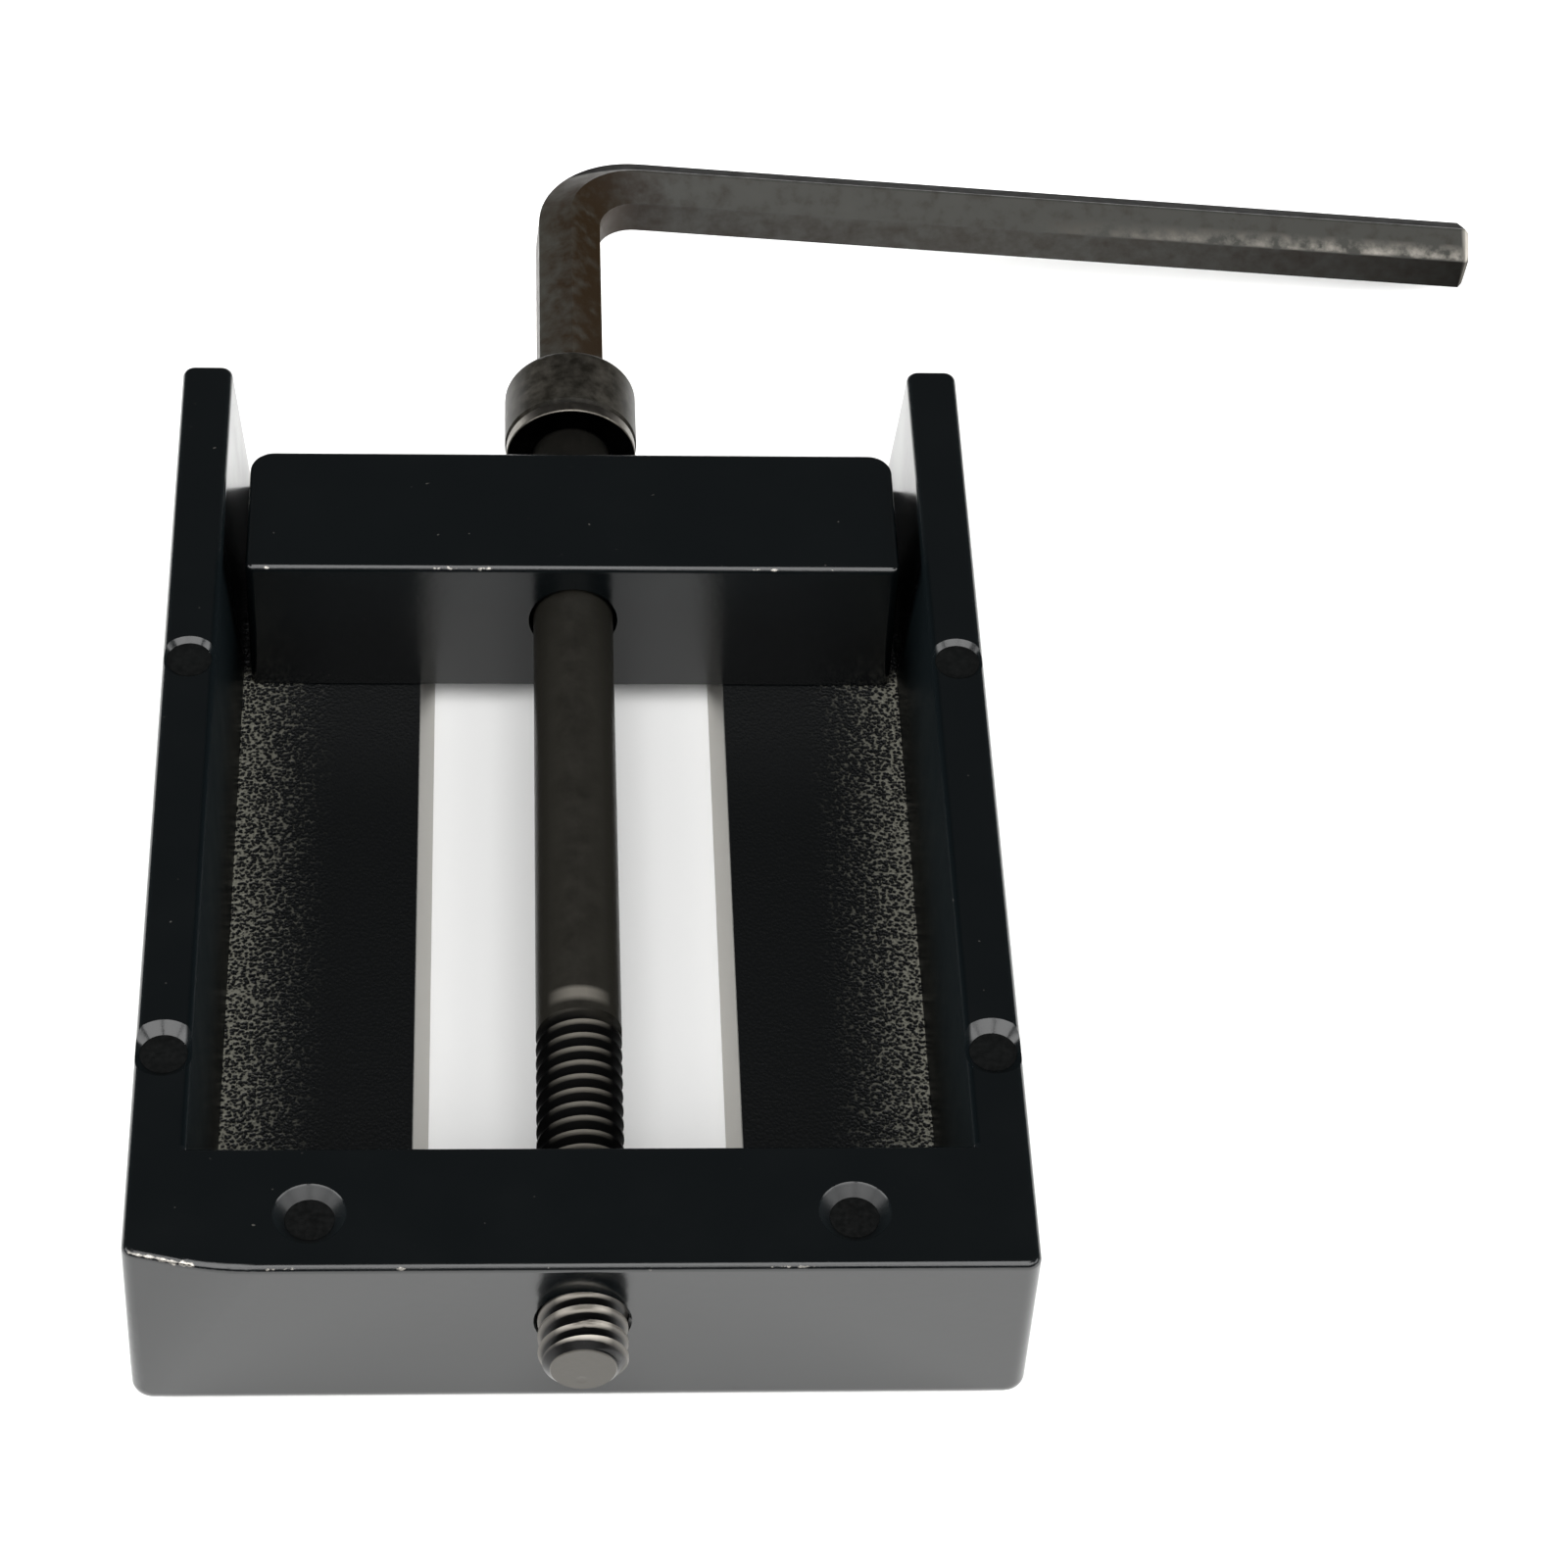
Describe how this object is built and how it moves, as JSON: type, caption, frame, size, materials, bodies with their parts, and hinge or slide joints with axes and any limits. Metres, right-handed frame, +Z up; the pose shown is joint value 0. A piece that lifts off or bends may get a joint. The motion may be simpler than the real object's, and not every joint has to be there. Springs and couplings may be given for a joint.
{
  "type": "small screw vise",
  "caption": "Low black screw vise: U-shaped frame on two floor plates, a sliding jaw, a long socket head screw through jaw and front bar, and a hex key left in the screw.",
  "frame": {"origin": "middle of the front bar's underside, on the surface that the vise stands on", "axes": "+X to the right, +Y from the front bar to the screw's head, +Z up"},
  "size_m": [0.1063, 0.1202, 0.015],
  "materials": {
    "frame_enamel": "satin black enamel, worn at the edges",
    "plate_wrinkle_paint": "coarse grained black paint",
    "rivet_black": "satin black",
    "jaw_enamel": "satin black enamel, chipped at the edges",
    "screw_black_oxide": "black oxide, bare steel at the tip",
    "washer_steel": "dull turned steel, bright at the rim",
    "key_steel": "dark tempered steel"
  },
  "bodies": {
    "frame": {"frame": "frame_enamel", "left_floor_plate": "plate_wrinkle_paint", "right_floor_plate": "plate_wrinkle_paint", "plate_rivet_front_left": "rivet_black", "plate_rivet_front_right": "rivet_black", "plate_rivet_near_left": "rivet_black", "plate_rivet_near_right": "rivet_black", "plate_rivet_far_left": "rivet_black", "plate_rivet_far_right": "rivet_black"},
    "washer": {"head_washer": "washer_steel"},
    "screw": {"clamp_screw": "screw_black_oxide"},
    "jaw": {"sliding_jaw": "jaw_enamel"},
    "key": {"hex_key": "key_steel"}
  },
  "joints": [
    {"name": "screw_feed", "type": "slide", "parent": "frame", "child": "washer", "axis": [0, -1, 0], "range_m": [-0.0081, 0.0166]},
    {"name": "screw_turn", "type": "hinge", "parent": "washer", "child": "screw", "pos_m": [0, 0.078, 0.0091], "axis": [0, -1, 0], "range_deg": [-2400, 4950]},
    {"name": "jaw_slide", "type": "slide", "parent": "washer", "child": "jaw", "axis": [0, -1, 0], "range_m": [-0.005, 0.0376]},
    {"name": "key_pull", "type": "slide", "parent": "screw", "child": "key", "axis": [0, 1, 0], "range_m": [0, 0.012]}
  ],
  "couplings": [
    {"joint": "screw_feed", "follows": "screw_turn", "m_per_rad": 0.00019099}
  ]
}
